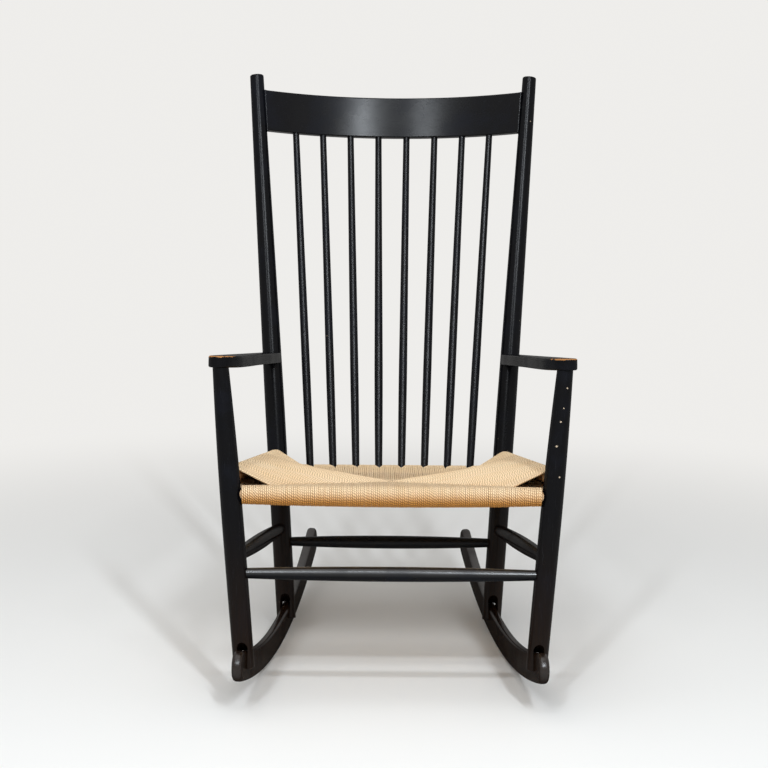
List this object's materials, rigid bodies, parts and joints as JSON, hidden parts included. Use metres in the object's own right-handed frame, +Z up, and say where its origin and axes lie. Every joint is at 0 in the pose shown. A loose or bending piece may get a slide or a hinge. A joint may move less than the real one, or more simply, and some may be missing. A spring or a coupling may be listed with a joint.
{
  "type": "spindle back rocking chair",
  "caption": "High-back rocking chair with a spindle back, curved crest rail, flat arms, round turned legs forked over bow-shaped rockers, and a woven paper cord seat.",
  "frame": {"origin": "on the floor, at the middle of the chair's width and of its depth from the rockers' noses to their tails", "axes": "+Z up, the chair faces -Y, +X to the right in the picture"},
  "size_m": [0.6352, 0.9353, 1.0701],
  "materials": {
    "black_lacquered_wood": "semi-gloss black lacquer on beech, worn through to the wood on the arms' ends",
    "bare_wood": "unfinished beech under the seat cord",
    "paper_cord": "twisted natural paper cord, matt with a slight sheen"
  },
  "bodies": {
    "root": {"rocker_left": "black_lacquered_wood", "rocker_right": "black_lacquered_wood", "front_leg_left": "black_lacquered_wood", "front_leg_right": "black_lacquered_wood", "rear_post_left": "black_lacquered_wood", "rear_post_right": "black_lacquered_wood", "armrest_left": "black_lacquered_wood", "armrest_right": "black_lacquered_wood", "crest_rail": "black_lacquered_wood", "front_stretcher": "black_lacquered_wood", "rear_stretcher": "black_lacquered_wood", "side_stretcher_left": "black_lacquered_wood", "side_stretcher_right": "black_lacquered_wood", "rocker_dowels": "black_lacquered_wood", "spindle_1": "black_lacquered_wood", "spindle_2": "black_lacquered_wood", "spindle_3": "black_lacquered_wood", "spindle_4": "black_lacquered_wood", "spindle_5": "black_lacquered_wood", "spindle_6": "black_lacquered_wood", "spindle_7": "black_lacquered_wood", "spindle_8": "black_lacquered_wood", "seat_rail_front": "bare_wood", "seat_rail_rear": "bare_wood", "seat_rail_left": "bare_wood", "seat_rail_right": "bare_wood", "cord_seat": "paper_cord"}
  },
  "joints": []
}
